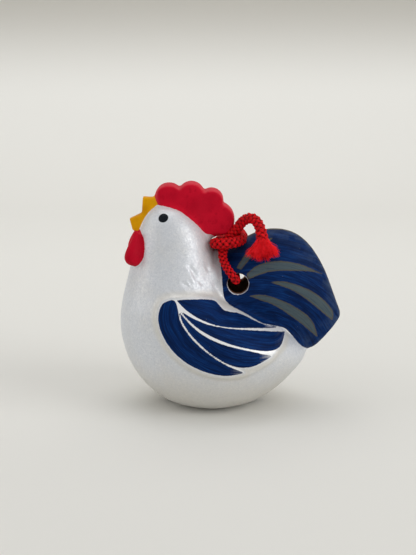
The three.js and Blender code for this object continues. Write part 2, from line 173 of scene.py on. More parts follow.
# The share of a feather's stroke where its brush runs dry, and how dry each one gets.
DRY_RUN, DRY_TIPS = (0.88, 0.98), (0.15, 0.5, 0.05, 0.8)
# The brush sweeps the tail in arcs about this place, of about this radius, and each feather's
# streaks are read this far on from the last one's.
SWEEP_CENTRE, SWEEP_RADIUS, FEATHER_STEP = (8.0, 14.0), 30, 50
EYE_PLACE, EYE_RADIUS, EYE_BULGE = (-20.6, 60.1), 1.45, 0.16
# The openings, and between which distances off the centre or heights their walls lie.
HOLE_PLACE, HOLE_RADIUS, HOLE_WALLS = (2.0, 40.0), 3.2, (5.0, 9.4)
SLOT_ENDS, SLOT_HALF, SLOT_WALLS = (-18.5, 6.5), 2.5, (0.9, 4.2)
# Clay below this height is pressed flat, as the foot.
FOOT_HEIGHT = 0.25

# Scooped neck feathers: start, end, half width and depth. A lip stands up along each one.
HACKLES = (
    ((-12.9, 46.9), (-9.8, 41.4), 0.7, 0.3),
    ((-15.2, 42.1), (-11.8, 39.5), 0.6, 0.26),
    ((-19.6, 40.2), (-17.0, 38.8), 0.55, 0.22),
    ((-9.9, 42.1), (-8.4, 40.2), 0.5, 0.2),
    ((-12.9, 42.4), (-11.7, 40.4), 0.4, 0.12),
    ((-7.8, 45.7), (-6.5, 43.4), 0.5, 0.14),
)
HACKLE_LIP = 0.45
# Clay smeared in between the neck and the tail: into the notch above and the corner on each side.
NOTCH_PLACE, NOTCH_REACH, NOTCH_FILL = (-4.2, 0.0, 47.0), (1.7, 5.0, 2.2), 1.7
CORNER_PLACE, CORNER_REACH, CORNER_FILL = (-5.0, 43.5), (1.7, 4.0), 1.6
# Round these the clay keeps its moulded edges: how far, and how much of the softening is left.
FIRM = {
    "comb": (1.0, 0.14), "wattle": (1.0, 0.3), "beak": (0.8, 0.14),
    "wing": (2.5, 0.4), "hole": (1.5, 0.16), "foot": (3.2, 0.3),
}
# How often the hand-pressed clay wavers, in each millimetre.
WAVER_SCALE = 0.16

# The lamps' places and widths in metres.
LAMPS = {
    "above": ((0, 0.22, 0.62), 0.6),
    "window": ((0.62, -0.32, 0.38), 0.45),
    "wall": ((-0.66, 0.02, 0.3), 0.6),
}


def srgb(red, green, blue):
    """A colour as it looks, in 255ths, as the linear colour that a shader takes."""
    shares = [channel / 255 for channel in (red, green, blue)]
    return tuple(s / 12.92 if s < 0.04045 else ((s + 0.055) / 1.055) ** 2.4 for s in shares)


def colour(name, description, *shade):
    """A colour setting."""
    return FloatVectorProperty(
        name=name, description=description, subtype="COLOR", size=3, min=0, max=1,
        default=srgb(*shade),
    )


def length(name, description, default):
    """A length setting, in metres."""
    return FloatProperty(
        name=name, description=description, default=default, unit="LENGTH", precision=5
    )


def power(name, description, default):
    """A lamp's power setting, in watts."""
    return FloatProperty(name=name, description=description, default=default, unit="POWER")


class ClaySettings(bpy.types.PropertyGroup):
    """The fired clay and its paints."""

    skin: length("Skin", "Edge length of the clay's mesh", 0.42 * MM)
    melt: IntProperty(name="Melt", description="Passes that soften the moulded edges", default=40)
    unevenness: length("Unevenness", "How far the hand-pressed clay wavers", 0.07 * MM)
    white: colour("White", "Pearly ground coat", 218, 221, 226)
    grey_white: colour("Grey white", "Ground coat where it lies thin", 200, 204, 210)
    gap: colour("Gap", "Thick ground coat between the feathers", 240, 240, 240)
    # Warm tint: random clouds and flecks in the ground coat, and painted shade round the raised
    # wings and low on the body.
    warm_tint_and_shade: colour("Halo", "Warmer ground coat round the wings", 216, 210, 197)
    navy: colour("Navy", "Wing and tail paint", 2, 38, 90)
    thin_navy: colour("Thin navy", "The same paint where the brush left little", 10, 58, 118)
    deep_navy: colour("Deep navy", "The same paint where it pooled", 0, 20, 58)
    # Greyer navy along the tail's top ridge: rubbed paint and a painted sheen.
    worn_and_sheen_navy: colour("Grey navy", "The same paint rubbed thin along an edge", 64, 80, 104)
    stripe: colour("Stripe", "Grey tail stripes", 80, 93, 96)
    khaki: colour("Khaki", "Edges of the grey stripes", 92, 84, 62)
    red: colour("Red", "Comb and wattles", 206, 14, 44)
    deep_red: colour("Deep red", "The same paint where it pooled", 184, 4, 36)
    # Lighter red, painted as the highlight on the comb's rounded edge.
    highlight_red: colour("Light red", "The same paint rubbed thin along an edge", 214, 66, 80)
    yellow: colour("Yellow", "Beak", 232, 166, 2)
    deep_yellow: colour("Deep yellow", "The same paint where it pooled", 200, 132, 0)
    eye: colour("Eye", "Eye dot", 26, 30, 36)
    bare: colour("Bare clay", "Unglazed inside", 150, 112, 84)
    deep_bare: colour("Deep bare clay", "Darker grains of it", 96, 68, 50)


class CordSettings(bpy.types.PropertyGroup):
    """The braided cord and its frayed ends."""

    diameter: length("Diameter", "Nominal thickness of the cord", 2.6 * MM)
    strand: length("Strand", "Radius of one braided strand", 0.54 * MM)
    lead: length("Lead", "Length of one full turn of a strand", 5.8 * MM)
    fibres: IntProperty(name="Fibres", description="Fibres in one tassel", default=1100)
    clumps: IntProperty(name="Clumps", description="Locks that the fibres gather in", default=26)
    fibre: length("Fibre", "Radius of one tassel fibre", 0.075 * MM)
    tassel: length("Tassel", "Length of the frayed end", 7.0 * MM)
    spread: length("Spread", "Width of the frayed end", 10.4 * MM)
    depth: length("Depth", "Thickness of the frayed end", 5.6 * MM)
    red: colour("Red", "Dyed silk", 232, 6, 20)
    worn_red: colour("Worn red", "Dyed silk in its darker filaments", 158, 0, 12)
    # Near-black red, painted as the shade between the braided strands.
    deep_red: colour("Deep red", "Dyed silk between the strands", 44, 0, 3)
    combed: colour("Combed", "Dyed silk in the middle of a tassel", 248, 8, 22)
    frayed: colour("Frayed", "Dyed silk where it is combed out", 255, 40, 52)


class StageSettings(bpy.types.PropertyGroup):
    """Camera, floor and lights."""

    aim: FloatVectorProperty(
        name="Aim", description="Point that the camera looks at", subtype="TRANSLATION",
        default=(-7.1 * MM, 0, 39.8 * MM), precision=5,
    )
    distance: length("Distance", "From the camera to that point", 0.4)
    elevation: FloatProperty(
        name="Elevation", description="Height of the camera as an angle", subtype="ANGLE",
        default=math.radians(13),
    )
    focal_pixels: FloatProperty(
        name="Focal pixels", description="Focal length in pixels of the picture", default=1290
    )
    paper: colour("Paper", "Floor", 229, 228, 223)
    # Painted light on the paper: lighter floor behind the bird, and painted shade darker up the
    # backdrop.
    lit_back_paper: colour("Back paper", "Floor behind the bird", 237, 236, 231)
    shaded_far_paper: colour("Far paper", "Backdrop", 188, 185, 177)
    above: power("Above", "Lamp overhead and a little behind", 1.5)
    window: power("Window", "Lamp at the right", 1.9)
    wall: power("Wall", "Softer lamp at the left", 0.9)
    ambient: FloatProperty(name="Ambient", description="Light of the room", default=0.54)


def distances(gaps):
    """How long each gap is."""
    return np.linalg.norm(gaps, axis=-1)


def smooth_line(points, steps):
    """Points along a centripetal curve through the given ones."""
    knots = np.array(points, float)
    knots = np.vstack([2 * knots[0] - knots[1], knots, 2 * knots[-1] - knots[-2]])
    gaps = np.sqrt(distances(np.diff(knots, axis=0)))
    times = np.concatenate([[0], np.cumsum(gaps)])
    line = []
    for i in range(1, len(knots) - 2):
        now = np.linspace(times[i], times[i + 1], steps, endpoint=False)[:, None]
        layer = [(times[j], times[j], knots[j]) for j in range(i - 1, i + 3)]
        while len(layer) > 1:
            layer = [
                (low, high, ((high - now) * a + (now - low) * b) / (high - low))
                for (low, _, a), (_, high, b) in zip(layer, layer[1:])
            ]
        line.append(layer[0][2])
    line.append(knots[-2:-1])
    return np.vstack(line)


def run_of(line):
    """How far along a line each of its points is."""
    return np.concatenate([[0], np.cumsum(distances(np.diff(line, axis=0)))])


def points_at(places, run, line):
    """Points at places along a line whose own points lie at the given runs."""
    return np.stack([np.interp(places, run, column) for column in line.T], axis=1)


def even_line(line, step):
    """The same line with its points an even step apart."""
    run = run_of(line)
    count = max(2, round(run[-1] / step) + 1)
    return points_at(np.linspace(0, run[-1], count), run, line)


def ahead_of(line):
    """The direction that a line takes at each of its points."""
    ahead = np.gradient(line, axis=0)
    return ahead / distances(ahead)[:, None]


def rolling_sides(line):
    """Two directions square to a line at each point, that turn with it and never twist."""
    ahead = ahead_of(line)
    first = Vector(ahead[0]).orthogonal().normalized()
    sides = []
    for direction in ahead:
        along = Vector(direction)
        first = (first - along * first.dot(along)).normalized()
        sides.append((tuple(first), tuple(along.cross(first))))
    sides = np.array(sides)
    return sides[:, 0], sides[:, 1]


def add_object(name, mesh):
    """A new object of the scene that holds a mesh."""
    piece = bpy.data.objects.new(name, mesh)
    bpy.context.scene.collection.objects.link(piece)
    return piece


def shaped_mesh(name, shape):
    """A smooth-shaded mesh of a finished shape."""
    mesh = bpy.data.meshes.new(name)
    shape.to_mesh(mesh)
    shape.free()
    mesh.shade_smooth()
    return mesh


def shown_mesh(piece):
    """A piece's mesh with its modifiers and bevels worked out."""
    ready = piece.evaluated_get(bpy.context.evaluated_depsgraph_get())
    return bpy.data.meshes.new_from_object(ready)


def swept_threads(name, lines, radii, thickness, roundness):
    """One mesh of round threads along the lines, with a share of the thickness at each point."""
    curve = bpy.data.curves.new(name, "CURVE")
    curve.dimensions = "3D"
    curve.bevel_depth = thickness
    curve.bevel_resolution = roundness
    curve.use_fill_caps = True
    for line, shares in zip(lines, radii):
        spline = curve.splines.new("POLY")
        spline.points.add(len(line) - 1)
        spline.points.foreach_set("co", np.column_stack([line, np.ones(len(line))]).ravel())
        spline.points.foreach_set("radius", shares)
    threads = add_object(name + "_threads", curve)
    mesh = shown_mesh(threads)
    bpy.data.objects.remove(threads)
    bpy.data.curves.remove(curve)
    mesh.name = name
    mesh.shade_smooth()
    return add_object(name, mesh)


class Finish:
    """A material's node tree, written as sums."""

    def __init__(self, name):
        self.material = bpy.data.materials.new(name)
        self.material.use_nodes = True
        self.tree = self.material.node_tree
        self.shader = self.tree.nodes["Principled BSDF"]

    def node(self, kind, **settings):
        """A new node with some of its settings."""
        made = self.tree.nodes.new(kind)
        for key, value in settings.items():
            setattr(made, key, value)
        return made

    def feed(self, socket, value):
        """Puts a number, a colour or another node's output into a socket."""
        if isinstance(value, bpy.types.NodeSocket):
            self.tree.links.new(value, socket)
        elif socket.type == "RGBA":
            socket.default_value = (*value, 1)
        else:
            socket.default_value = value

    def sum(self, operation, a, b):
        """One step of arithmetic."""
        made = self.node("ShaderNodeMath", operation=operation)
        self.feed(made.inputs[0], a)
        self.feed(made.inputs[1], b)
        return made.outputs[0]

    def plus(self, a, b, share):
        """A value with a share of another one added."""
        return self.sum("ADD", a, self.sum("MULTIPLY", b, share))

    def rise(self, value, low, high, start=0.0, end=1.0):
        """Goes smoothly from start to end as a value goes from low to high."""
        made = self.node("ShaderNodeMapRange", interpolation_type="SMOOTHSTEP")
        for socket, number in zip(made.inputs[:5], (value, low, high, start, end)):
            self.feed(socket, number)
        return made.outputs[0]

    def over(self, share, under, upper):
        """One colour laid over another, through the mix node's sockets for colours."""
        made = self.node("ShaderNodeMix", data_type="RGBA")
        self.feed(made.inputs[0], share)
        self.feed(made.inputs[6], under)
        self.feed(made.inputs[7], upper)
        return made.outputs[2]

    def coated(self, under, *coats):
        """A colour with others over it, each as (colour, value, low, high, most)."""
        for upper, value, low, high, most in coats:
            under = self.over(self.rise(value, low, high, 0, most), under, upper)
        return under

    def attribute(self, name, part="Fac"):
        """A painted value of the mesh."""
        return self.node("ShaderNodeAttribute", attribute_name=name).outputs[part]

    def place(self):
        """Object coordinates."""
        return self.node("ShaderNodeTexCoord").outputs["Object"]

    def part(self, vector, name):
        """One part of a vector."""
        made = self.node("ShaderNodeSeparateXYZ")
        self.feed(made.inputs[0], vector)
        return made.outputs[name]

    def stretched(self, vector, *scale):
        """A vector with each part scaled."""
        made = self.node("ShaderNodeMapping")
        self.feed(made.inputs["Vector"], vector)
        made.inputs["Scale"].default_value = scale
        return made.outputs[0]

    def grain(self, vector, scale, detail, roughness=0.55):
        """Noise from 0 to 1."""
        made = self.node("ShaderNodeTexNoise")
        self.feed(made.inputs["Vector"], vector)
        made.inputs["Scale"].default_value = scale
        made.inputs["Detail"].default_value = detail
        made.inputs["Roughness"].default_value = roughness
        return made.outputs["Fac"]

    def bump(self, height, distance, strength):
        """A surface raised by a height."""
        made = self.node("ShaderNodeBump")
        made.inputs["Strength"].default_value = strength
        made.inputs["Distance"].default_value = distance
        self.feed(made.inputs["Height"], height)
        return made.outputs[0]

    def set(self, **values):
        """Fills the shader's own sockets."""
        for key, value in values.items():
            socket = key.replace("_", " ").title().replace("Ior", "IOR")
            self.feed(self.shader.inputs[socket], value)
        return self.material


def paint_clay(settings):
    """Pearly white clay, painted by hand in navy, grey, red, yellow and black, bare inside."""
    f = Finish("painted_clay")
    here = f.place()
    brush = f.attribute("brush", "Vector")
    wobble = f.sum("SUBTRACT", f.grain(here, 900, 2), 0.5)
    fine = f.sum("SUBTRACT", f.grain(here, 3200, 2), 0.5)
    streaks = f.grain(f.stretched(brush, 0.16, 2.6, 1), 1, 4, 0.62)
    bristles = f.grain(f.stretched(brush, 0.1, 1.4, 1), 1, 2)
    broad = f.grain(f.stretched(brush, 0.07, 0.7, 1), 1, 2)
    clouds = f.grain(here, 110, 3)

    def painted(name, wander=0.2, soft=0.07):
        """How much a paint covers, with the uneven edge that a brush leaves."""
        spill, raggedness = 0.1, 0.12
        edge = f.plus(f.attribute(name), wobble, wander)
        edge = f.plus(f.sum("ADD", edge, spill), fine, raggedness)
        return f.rise(edge, -soft, soft)

    ring = f.attribute("ring")
    # A warm band just outside the wings, painted shade of the raised wing's edge.
    warm_tint_and_shade = f.sum("MULTIPLY", f.rise(ring, -3, -1.2, 0, 0.5), f.rise(ring, -0.2, -0.9))
    mottle = f.grain(here, 760, 4, 0.6)
    mica = f.grain(here, 1700, 3, 0.65)
    ground = f.coated(
        settings.white,
        (settings.warm_tint_and_shade, clouds, 0.35, 0.75, 0.25),
        (settings.grey_white, mottle, 0.42, 0.68, 0.3),
        (settings.gap, mica, 0.52, 0.68, 0.45),
        (settings.grey_white, mica, 0.47, 0.32, 0.6),
        # Warmer towards the bottom: painted shade with the floor's warm bounce.
        (settings.warm_tint_and_shade, f.part(here, "Z"), 0.02, 0.004, 0.6),
    )
    ground = f.over(warm_tint_and_shade, ground, settings.warm_tint_and_shade)
    ground = f.over(f.rise(ring, -0.4, 0.1), ground, settings.gap)

    flecks = f.grain(f.stretched(brush, 0.6, 1.6, 1), 1.4, 2)
    navy = f.coated(
        settings.navy,
        (settings.thin_navy, streaks, 0.48, 0.74, 1),
        (settings.deep_navy, streaks, 0.5, 0.32, 0.85),
        (settings.deep_navy, broad, 0.56, 0.34, 0.7),
        (settings.warm_tint_and_shade, flecks, 0.74, 0.79, 0.2),
    )
    # Along the tail's top ridge the navy turns greyer in patches: rubbed paint and a painted sheen.
    rubbed = f.sum("MULTIPLY", f.attribute("edge"), f.rise(f.grain(here, 240, 3), 0.36, 0.62))
    rubbed = f.sum("MULTIPLY", rubbed, f.rise(broad, 0.3, 0.65, 0.25, 0.9))
    navy = f.over(rubbed, navy, settings.worn_and_sheen_navy)
    dry = f.sum("MULTIPLY", f.attribute("dry"), f.rise(bristles, 0.42, 0.56))
    blue = f.sum("MULTIPLY", painted("navy"), f.sum("SUBTRACT", 1.0, dry))

    stripe = f.coated(settings.stripe, (settings.khaki, f.attribute("stripe"), 0.5, 0, 0.8))
    stripe_share = painted("stripe", 0.4, 0.16)
    stripe_share = f.sum("MULTIPLY", stripe_share, f.rise(streaks, 0.25, 0.6, 0.6, 0.95))
    red = f.coated(
        settings.deep_red,
        (settings.red, clouds, 0.3, 0.66, 1),
        (settings.deep_red, f.grain(here, 620, 2), 0.52, 0.7, 0.8),
    )
    # The comb's rounded edge is painted lighter in mottled patches, as a painted highlight.
    red_rim_highlight = f.sum("MULTIPLY", f.attribute("edge"), f.rise(mottle, 0.3, 0.6, 0.3, 0.7))
    red = f.over(red_rim_highlight, red, settings.highlight_red)
    yellow = f.coated(settings.deep_yellow, (settings.yellow, clouds, 0.3, 0.62, 1))

    paint = f.over(blue, ground, navy)
    paint = f.over(stripe_share, paint, stripe)
    paint = f.over(f.sum("MULTIPLY", painted("seam", 1.2, 0.3), 0.75), paint, settings.khaki)
    rim = f.plus(f.attribute("rim"), wobble, 0.5)
    rim = f.sum("MULTIPLY", f.rise(rim, -0.15, 0), f.rise(rim, 0.17, 0.07))
    paint = f.over(rim, paint, settings.white)
    comb = painted("red")
    paint = f.over(comb, paint, red)
    beak = painted("yellow")
    paint = f.over(beak, paint, yellow)
    eye = painted("eye", 0.2, 0.06)
    paint = f.over(eye, paint, settings.eye)
    bare = f.over(f.grain(here, 1800, 4, 0.7), settings.deep_bare, settings.bare)
    inside = f.rise(f.attribute("hollow"), 0.2, 0.5)
    paint = f.over(inside, paint, bare)

    covered = f.sum("MAXIMUM", f.sum("MAXIMUM", blue, comb), f.sum("MAXIMUM", beak, inside))
    ground_share = f.sum("SUBTRACT", 1.0, covered)
    pearl = f.sum("MULTIPLY", ground_share, f.rise(mica, 0.38, 0.68, 0.14, 0.44))
    gloss = f.plus(0.32, f.grain(here, 500, 3), 0.14)
    gloss = f.plus(gloss, covered, 0.16)
    gloss = f.plus(gloss, eye, -0.3)
    gloss = f.sum("MAXIMUM", gloss, f.sum("MULTIPLY", inside, 0.9))
    strokes = f.sum("MULTIPLY", f.sum("MAXIMUM", blue, comb), streaks)
    height = f.plus(f.sum("ADD", mottle, mica), strokes, 0.35)
    normal = f.bump(height, 0.12 * MM, 0.6)
    return f.set(
        base_color=paint, roughness=gloss, metallic=pearl, normal=normal, specular_ior_level=0.07
    )


def dyed_silk(name, deep, bright, sunk):
    """Dyed silk with fine lengthwise filaments, with painted shade where it is sunk."""
    f = Finish(name)
    along = f.node("ShaderNodeUVMap", uv_map="UVMap").outputs[0]
    filament = f.grain(f.stretched(along, 60, 9, 1), 1, 3, 0.6)
    patch = f.grain(f.place(), 700, 2)
    shade = f.coated(
        deep,
        (bright, filament, 0.3, 0.62, 1),
        (deep, patch, 0.5, 0.25, 0.5),
        # Sunk places get painted shade: between the braid's strands and deep in a tassel.
        (sunk, f.attribute("rise"), 1, 0.6, 1),
    )
    return f.set(
        base_color=shade,
        roughness=f.rise(filament, 0.2, 0.8, 0.42, 0.68),
        normal=f.bump(filament, 0.05 * MM, 0.5),
        specular_ior_level=0.14,
    )


def pellet_clay(settings):
    """Unpainted fired clay, gritty and a little sooted."""
    f = Finish("pellet_clay")
    here = f.place()
    grit = f.grain(here, 2200, 5, 0.7)
    soot = f.grain(here, 260, 2)
    shade = f.coated(
        settings.deep_bare,
        (settings.bare, grit, 0.3, 0.7, 1),
        (settings.deep_bare, soot, 0.55, 0.75, 0.5),
    )
    return f.set(
        base_color=shade,
        roughness=f.rise(grit, 0.2, 0.8, 0.78, 0.95),
        normal=f.bump(grit, 0.15 * MM, 0.7),
    )


def stage_paper(settings):
    """Pale paper of the floor and backdrop, with painted light: lighter behind the bird, and painted
    shade higher up the backdrop.
    """
    f = Finish("stage_paper")
    here = f.place()
    fibres = f.grain(here, 900, 3)
    shade = f.coated(
        settings.paper,
        # Painted light behind the bird and painted shade higher up the backdrop.
        (settings.lit_back_paper, f.part(here, "Y"), -0.08, 0.25, 1),
        (settings.shaded_far_paper, f.part(here, "Z"), 0.05, 0.125, 1),
    )
    return f.set(base_color=shade, roughness=0.85, normal=f.bump(fibres, 0.03 * MM, 0.2))


def depth_inside(points, outline):
    """How far inside a closed outline each point is, negative outside it."""
    depth = np.full(len(points), -REACH)
    low, high = outline.min(0) - REACH, outline.max(0) + REACH
    near = ((points > low) & (points < high)).all(1)
    spot = points[near][:, None, :]
    start, end = outline, np.roll(outline, -1, axis=0)
    edge = end - start
    keep = np.abs(edge).sum(1) > 0
    start, end, edge = start[keep], end[keep], edge[keep]
    share = np.clip(((spot - start) * edge).sum(2) / (edge * edge).sum(1), 0, 1)
    away = distances(spot - start - share[..., None] * edge).min(1)
    level = (start[:, 1] > spot[..., 1]) != (end[:, 1] > spot[..., 1])
    rise = np.where(edge[:, 1] == 0, 1, edge[:, 1])
    crossed = level & (spot[..., 0] < edge[:, 0] * (spot[..., 1] - start[:, 1]) / rise + start[:, 0])
    inside = crossed.sum(1) % 2 == 1
    depth[near] = np.clip(np.where(inside, away, -away), -REACH, None)
    return depth


def brush_shape(edges):
    """The closed outline of a brush stroke between its two edges, and its middle line."""
    step, middle_points = 0.8, 40
    sides = [even_line(smooth_line(edge, LINE_STEPS), step) for edge in edges]
    places = np.linspace(0, 1, middle_points)
    middle = sum(points_at(places, np.linspace(0, 1, len(side)), side) for side in sides) / 2
    return np.vstack([sides[0], sides[1][::-1]]), middle


def depth_in_area(points, line, outside):
    """How far inside a painted area each point is, from its smooth edge and its corners."""
    return depth_inside(points, np.vstack([smooth_line(line, LINE_STEPS), outside]))


def stroke_place(points, middle):
    """Where points lie on a brush stroke: along it, across it, and as a share of its length."""
    gaps = points[:, None, :] - middle
    nearest = distances(gaps).argmin(1)
    gap, way = gaps[np.arange(len(points)), nearest], ahead_of(middle)[nearest]
    along = run_of(middle)[nearest] + (gap * way).sum(1)
    return along, way[:, 0] * gap[:, 1] - way[:, 1] * gap[:, 0], nearest / (len(middle) - 1)


def from_eye(places):
    """How far each place is from the middle of the eye dot on its side of the head."""
    close, wall = 0.6, 1.0
    folded = np.column_stack([places[:, 0], np.abs(places[:, 1]), places[:, 2]])
    near = distances(folded[:, (0, 2)] - EYE_PLACE) < close
    outer = near & (folded[:, 1] > folded[near, 1].max() - wall)
    return distances(folded - folded[outer].mean(0))


def paint_values(places):
    """How deep inside each painted area the clay's places are, and where on a brush stroke."""
    tail_near, comb_near, stroke_near = 1.5, 0.4, 1.2
    margin, seam_margin = 0.3, 0.5
    side = places[:, (0, 2)]
    off_centre = np.abs(places[:, 1])
    sweep = side - SWEEP_CENTRE
    turn = np.arctan2(sweep[:, 0], sweep[:, 1])
    brush = np.stack([turn * SWEEP_RADIUS, distances(sweep)], axis=1)
    tail = depth_in_area(side, TAIL_LINE, TAIL_OUTSIDE)
    comb = depth_in_area(side, COMB_LINE, COMB_OUTSIDE)
    on_body = (tail < -tail_near) | (comb > -comb_near)
    brush[on_body] = side[on_body][:, ::-1]
    wing = np.full(len(side), -REACH)
    dry = np.zeros(len(side))
    for number, edges in enumerate(FEATHERS):
        outline, middle = brush_shape(edges)
        depth = depth_inside(side, outline)
        nearer = (depth > wing) & (depth > -stroke_near)
        along, across, share = stroke_place(side[nearer], middle)
        brush[nearer] = np.stack([along + FEATHER_STEP * number, across], axis=1)
        dry[nearer] = np.interp(share, DRY_RUN, (0, DRY_TIPS[number]))
        wing = np.maximum(wing, depth)
    stripes = np.full(len(side), -REACH)
    for edges in TAIL_STRIPES:
        stripes = np.maximum(stripes, depth_inside(side, brush_shape(edges)[0]))
    wattles = depth_inside(side, smooth_line(WATTLE + WATTLE[:1], WATTLE_STEPS))
    parting = off_centre - np.interp(places[:, 2], *WATTLE_PARTING)
    tip = places[:, 2] - WATTLE_TIP[1] - WATTLE_CURVE * (off_centre - WATTLE_TIP[0]) ** 2
    wattles = np.minimum(wattles, np.minimum(parting, tip))
    beak = depth_in_area(side, BEAK_LINE, BEAK_OUTSIDE)
    beak[(places[:, 2] < BEAK_LOW) & (off_centre > BEAK_HALF)] = -REACH
    # Edge share: a painted highlight along the comb's round edge.
    edge = np.where(comb > margin, (COMB_HALF - off_centre) / COMB_HIGHLIGHT_WIDTH, 0)
    # Along the tail's top ridge it marks rubbed paint with a painted sheen.
    edge = np.where((comb < -margin) & (tail > 0), (TAIL_RIM - off_centre) / TAIL_RIM, edge)
    eye = EYE_RADIUS - from_eye(places)
    rim = distances(side - HOLE_PLACE) - HOLE_RADIUS
    outer_edges = (FEATHERS[0][0], FEATHERS[1][1][5:], FEATHERS[2][1][7:], FEATHERS[3][0][::-1])
    ring = np.vstack([smooth_line(line, LINE_STEPS) for line in outer_edges])
    return {
        "navy": np.maximum(tail, wing),
        "dry": np.where(tail > -margin, 0, dry),
        "stripe": stripes,
        "red": np.maximum(comb, wattles),
        "yellow": beak,
        "seam": np.where(tail > seam_margin, SEAM_HALF - off_centre, -REACH),
        "edge": np.clip(edge, 0, 1),
        "eye": np.maximum(eye, -REACH),
        "rim": np.clip(rim, -REACH, REACH),
        "ring": np.where(tail < 0, np.clip(depth_inside(side, ring), -REACH, REACH), -REACH),
    }, np.column_stack([brush, np.zeros(len(brush))])


def mesh_array(things, name, width, kind=np.float32):
    """A value of every vertex, edge or face of a mesh as one array."""
    values = np.zeros(len(things) * width, kind)
    things.foreach_get(name, values)
    return values.reshape(-1, width)


def add_values(mesh, name, values):
    """Stores a number or a vector for every vertex of a mesh."""
    kind, key = ("FLOAT", "value") if values.ndim == 1 else ("FLOAT_VECTOR", "vector")
    layer = mesh.attributes.new(name, kind, "POINT")
    layer.data.foreach_set(key, values.astype(np.float32).ravel())


def groove(side, start, end, half_width, depth):
    """How far a scooped groove lowers the clay, with a lip raised along its front side."""
    lip_place, bluntness = 1.7, 0.8
    gap = side - start
    way = np.subtract(end, start)
    share = (gap @ way) / (way @ way)
    unit = way / np.linalg.norm(way)
    across = (unit[1] * gap[:, 0] - unit[0] * gap[:, 1]) / half_width
    hump = np.sin(np.pi * np.clip(share, 0, 1)) ** bluntness
    swell = np.where((share > 0) & (share < 1), hump, 0)
    lip = HACKLE_LIP * np.exp(-((across - lip_place) ** 2))
    return swell * depth * (lip - np.exp(-(across**2)))


def softness(places):
    """How much each place of the clay gives when its moulded edges soften."""
    side = places[:, (0, 2)]
    lower_edges = (FEATHERS[0][0], FEATHERS[1][1][4:])
    wing = np.vstack([smooth_line(line, LINE_STEPS) for line in lower_edges])
    away = {
        "comb": -depth_in_area(side, COMB_LINE, COMB_OUTSIDE),
        "wattle": -depth_inside(side, np.array(WATTLE)),
        "beak": -depth_in_area(side, BEAK_LINE, BEAK_OUTSIDE),
        "wing": distances(side[:, None, :] - wing).min(1),
        "hole": distances(side - HOLE_PLACE) - HOLE_RADIUS,
        "foot": places[:, 2],
    }
    soft = np.ones(len(places))
    for part, (reach, give) in FIRM.items():
        soft[away[part] < reach] = give
    return soft


def reached(mesh, seeds, walls):
    """The vertices that edges join to the seeds without passing a wall."""
    first, last = mesh_array(mesh.edges, "vertices", 2, np.int32).T
    open_edge = ~(walls[first] | walls[last])
    first, last = first[open_edge], last[open_edge]
    found = seeds.copy()
    while True:
        step = found[first] != found[last]
        if not step.any():
            return found
        found[first[step]] = True
        found[last[step]] = True


def hollow_share(mesh, places):
    """1 on the bell's inner wall, 0 on its painted outside and a half in its openings."""
    slot_slack, hole_slack, crown = 0.3, 0.05, 0.5
    past = places[:, 0] - np.clip(places[:, 0], *SLOT_ENDS)
    height = places[:, 2]
    in_slot = np.hypot(past, places[:, 1]) < SLOT_HALF + slot_slack
    in_slot &= (height > SLOT_WALLS[0]) & (height < SLOT_WALLS[1])
    off_centre = np.abs(places[:, 1])
    in_hole = distances(places[:, (0, 2)] - HOLE_PLACE) < HOLE_RADIUS + hole_slack
    in_hole &= (off_centre > HOLE_WALLS[0]) & (off_centre < HOLE_WALLS[1])
    walls = in_slot | in_hole
    seeds = height > height.max() - crown
    outside = reached(mesh, seeds, walls)
    return np.where(outside, 0.0, np.where(walls, 0.5, 1.0))


def flatten_comb(places):
    """Makes the comb a flat plate with a small round along its edge."""
    full_depth = (0.4, 1.6)
    depth = depth_in_area(places[:, (0, 2)], COMB_LINE, COMB_OUTSIDE)
    share = np.interp(depth, full_depth, (0, 1))
    height = np.clip(np.abs(places[:, 1]) / COMB_HALF, 0, 1)
    inward = COMB_HALF * (1 - np.sqrt(1 - height**2))
    flat = COMB_HALF * np.sqrt(1 - np.clip(1 - inward / COMB_EDGE, 0, 1) ** 2)
    wanted = np.where(height < 1, np.sign(places[:, 1]) * flat, places[:, 1])
    places[:, 1] += (wanted - places[:, 1]) * share


def fill_notch(places):
    """Raises the clay smeared into the notch between the neck and the tail."""
    farthest = 1.8
    away = (places - NOTCH_PLACE) / NOTCH_REACH
    swell = np.exp(-(away**2).sum(1))
    places[:, 2] += NOTCH_FILL * np.where(np.abs(away[:, 2]) < farthest, swell, 0)


def fill_corner(places):
    """Pushes out the clay smeared into the corner between the neck and the tail on each side."""
    full_off_centre = 4.0
    away = (places[:, (0, 2)] - CORNER_PLACE) / CORNER_REACH
    swell = np.exp(-(away**2).sum(1))
    places[:, 1] += CORNER_FILL * swell * np.clip(places[:, 1] / full_off_centre, -1, 1)


def round_hole(places):
    """Draws the clay at the hanging hole out to a true round."""
    inner, outer, wall = 0.5, 0.2, 5.8
    gap = places[:, (0, 2)] - HOLE_PLACE
    away = distances(gap)
    near = (away > HOLE_RADIUS - inner) & (away < HOLE_RADIUS + outer)
    near &= np.abs(places[:, 1]) > wall
    places[np.ix_(near, (0, 2))] = HOLE_PLACE + gap[near] * (HOLE_RADIUS / away[near])[:, None]


